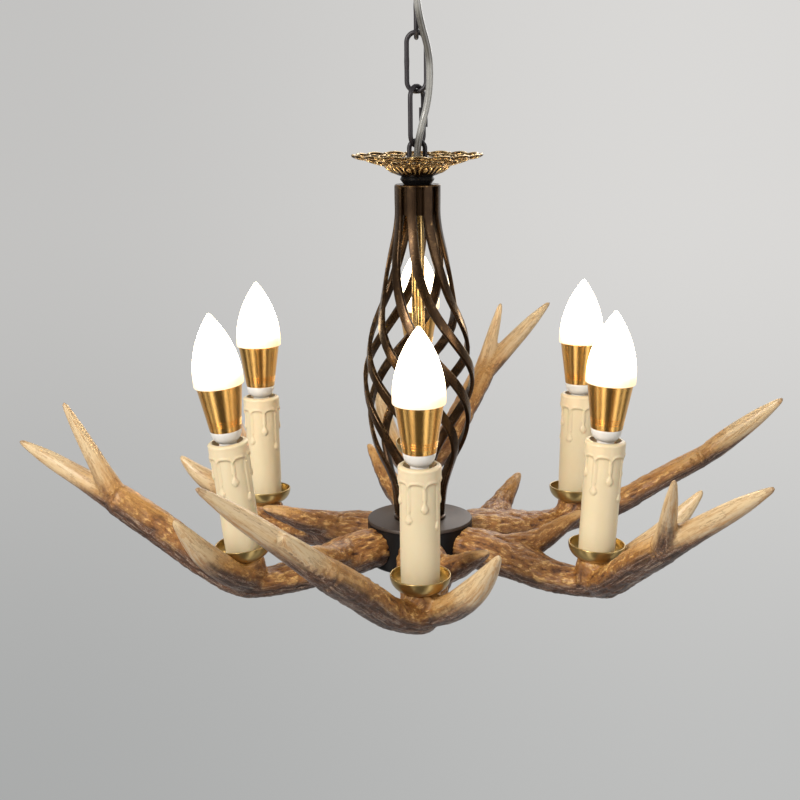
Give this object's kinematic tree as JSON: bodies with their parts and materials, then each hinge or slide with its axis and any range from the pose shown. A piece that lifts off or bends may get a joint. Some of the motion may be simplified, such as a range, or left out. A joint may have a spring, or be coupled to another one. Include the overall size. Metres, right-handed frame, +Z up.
{
  "type": "chandelier",
  "caption": "Hanging chandelier with moulded antler arms, candle-style sleeves and flame lamps around a twisted metal cage on a short chain.",
  "frame": {"origin": "centre of the ceiling bracket's upper face, in the ceiling plane", "axes": "+Z up into the ceiling, the fitting hangs towards -Z; the front arm points along -Y; +X to the right seen from the front"},
  "size_m": [0.5829, 0.543, 0.5214],
  "materials": {
    "bracket_steel": "zinc-plated",
    "fitting_black": "satin black",
    "canopy_black": "satin black",
    "chain_black": "black with worn spots",
    "grip_nylon": "clear nylon",
    "cord_clear": "clear twin cord",
    "filigree_bronze": "aged brass",
    "cage_bronze": "bronze with rubbed gold edges",
    "tube_brass": "satin",
    "hub_bronze": "dark bronze with a rubbed edge",
    "terminal_white": "ceramic white",
    "wire_insulation": "matt",
    "holder_white": "matt",
    "antler_resin": "painted bark with ivory tips",
    "cup_brass": "aged, brighter inside",
    "candle_ivory": "wax-like",
    "bulb_white": "gloss",
    "bulb_gold": "brushed gold",
    "bulb_opal": "opal, lit warm white"
  },
  "bodies": {
    "ceiling_mount": {"ceiling_bracket": "bracket_steel", "canopy": "canopy_black", "canopy_fasteners": "bracket_steel", "canopy_loop": "fitting_black", "cord_grip": "grip_nylon", "cord": "cord_clear"},
    "link_0": {"chain_link_0": "chain_black"},
    "link_1": {"chain_link_1": "chain_black"},
    "link_2": {"chain_link_2": "chain_black"},
    "quick_link": {"quick_link": "chain_black"},
    "link_sleeve": {"quick_link_sleeve": "chain_black"},
    "fixture": {"fixture_loop": "fitting_black", "filigree_plate": "filigree_bronze", "petal_bowl": "filigree_bronze", "neck_cone": "fitting_black", "twisted_cage": "cage_bronze", "centre_tube": "tube_brass", "hub_cover": "hub_bronze", "hub_drum": "fitting_black", "hub_finial": "hub_bronze", "terminal_ring": "terminal_white", "arm_fasteners": "bracket_steel", "wiring": "wire_insulation", "lampholders": "holder_white", "antler_front": "antler_resin", "cup_front": "cup_brass", "candle_front": "candle_ivory", "antler_front_right": "antler_resin", "cup_front_right": "cup_brass", "candle_front_right": "candle_ivory", "antler_back_right": "antler_resin", "cup_back_right": "cup_brass", "candle_back_right": "candle_ivory", "antler_back": "antler_resin", "cup_back": "cup_brass", "candle_back": "candle_ivory", "antler_back_left": "antler_resin", "cup_back_left": "cup_brass", "candle_back_left": "candle_ivory", "antler_front_left": "antler_resin", "cup_front_left": "cup_brass", "candle_front_left": "candle_ivory"},
    "bulb_front": {"bulb_base_front": "bulb_white", "bulb_sink_front": "bulb_gold", "bulb_dome_front": "bulb_opal"},
    "bulb_front_right": {"bulb_base_front_right": "bulb_white", "bulb_sink_front_right": "bulb_gold", "bulb_dome_front_right": "bulb_opal"},
    "bulb_back_right": {"bulb_base_back_right": "bulb_white", "bulb_sink_back_right": "bulb_gold", "bulb_dome_back_right": "bulb_opal"},
    "bulb_back": {"bulb_base_back": "bulb_white", "bulb_sink_back": "bulb_gold", "bulb_dome_back": "bulb_opal"},
    "bulb_back_left": {"bulb_base_back_left": "bulb_white", "bulb_sink_back_left": "bulb_gold", "bulb_dome_back_left": "bulb_opal"},
    "bulb_front_left": {"bulb_base_front_left": "bulb_white", "bulb_sink_front_left": "bulb_gold", "bulb_dome_front_left": "bulb_opal"}
  },
  "joints": [
    {"name": "chain_swing_0", "type": "hinge", "parent": "ceiling_mount", "child": "link_0", "pos_m": [0, 0, -0.045], "axis": [1, 0, 0], "range_deg": [-15, 15], "deforming": ["cord"]},
    {"name": "chain_swing_1", "type": "hinge", "parent": "link_0", "child": "link_1", "pos_m": [0, 0, -0.0827], "axis": [0, 1, 0], "range_deg": [-15, 15]},
    {"name": "chain_swing_2", "type": "hinge", "parent": "link_1", "child": "link_2", "pos_m": [0, 0, -0.1204], "axis": [0.9976, -0.0698, 0], "range_deg": [-15, 15]},
    {"name": "chain_swing_3", "type": "hinge", "parent": "link_2", "child": "quick_link", "pos_m": [0, 0, -0.1581], "axis": [0.5878, 0.809, 0], "range_deg": [-15, 15]},
    {"name": "sleeve_slide", "type": "slide", "parent": "quick_link", "child": "link_sleeve", "axis": [0, 0, 1], "range_m": [0, 0.006]},
    {"name": "fixture_swing", "type": "hinge", "parent": "quick_link", "child": "fixture", "pos_m": [0, 0, -0.1968], "axis": [0.9903, -0.1392, 0], "range_deg": [-15, 15]},
    {"name": "bulb_turn_front", "type": "hinge", "parent": "fixture", "child": "bulb_front", "pos_m": [0, -0.14914, -0.42588], "axis": [0, -0.0523, 0.9986], "range_deg": [0, 1080]},
    {"name": "bulb_turn_front_right", "type": "hinge", "parent": "fixture", "child": "bulb_front_right", "pos_m": [0.12979, -0.07494, -0.42893], "axis": [0.0559, -0.0323, 0.9979], "range_deg": [0, 1080]},
    {"name": "bulb_turn_back_right", "type": "hinge", "parent": "fixture", "child": "bulb_back_right", "pos_m": [0.12825, 0.07405, -0.42784], "axis": [0.0302, 0.0174, 0.9994], "range_deg": [0, 1080]},
    {"name": "bulb_turn_back", "type": "hinge", "parent": "fixture", "child": "bulb_back", "pos_m": [0, 0.13973, -0.40713], "axis": [0, -0.1045, 0.9945], "range_deg": [0, 1080]},
    {"name": "bulb_turn_back_left", "type": "hinge", "parent": "fixture", "child": "bulb_back_left", "pos_m": [-0.12735, 0.07352, -0.42781], "axis": [-0.0151, 0.0087, 0.9998], "range_deg": [0, 1080]},
    {"name": "bulb_turn_front_left", "type": "hinge", "parent": "fixture", "child": "bulb_front_left", "pos_m": [-0.1325, -0.0765, -0.42721], "axis": [-0.101, -0.0583, 0.9932], "range_deg": [0, 1080]}
  ]
}
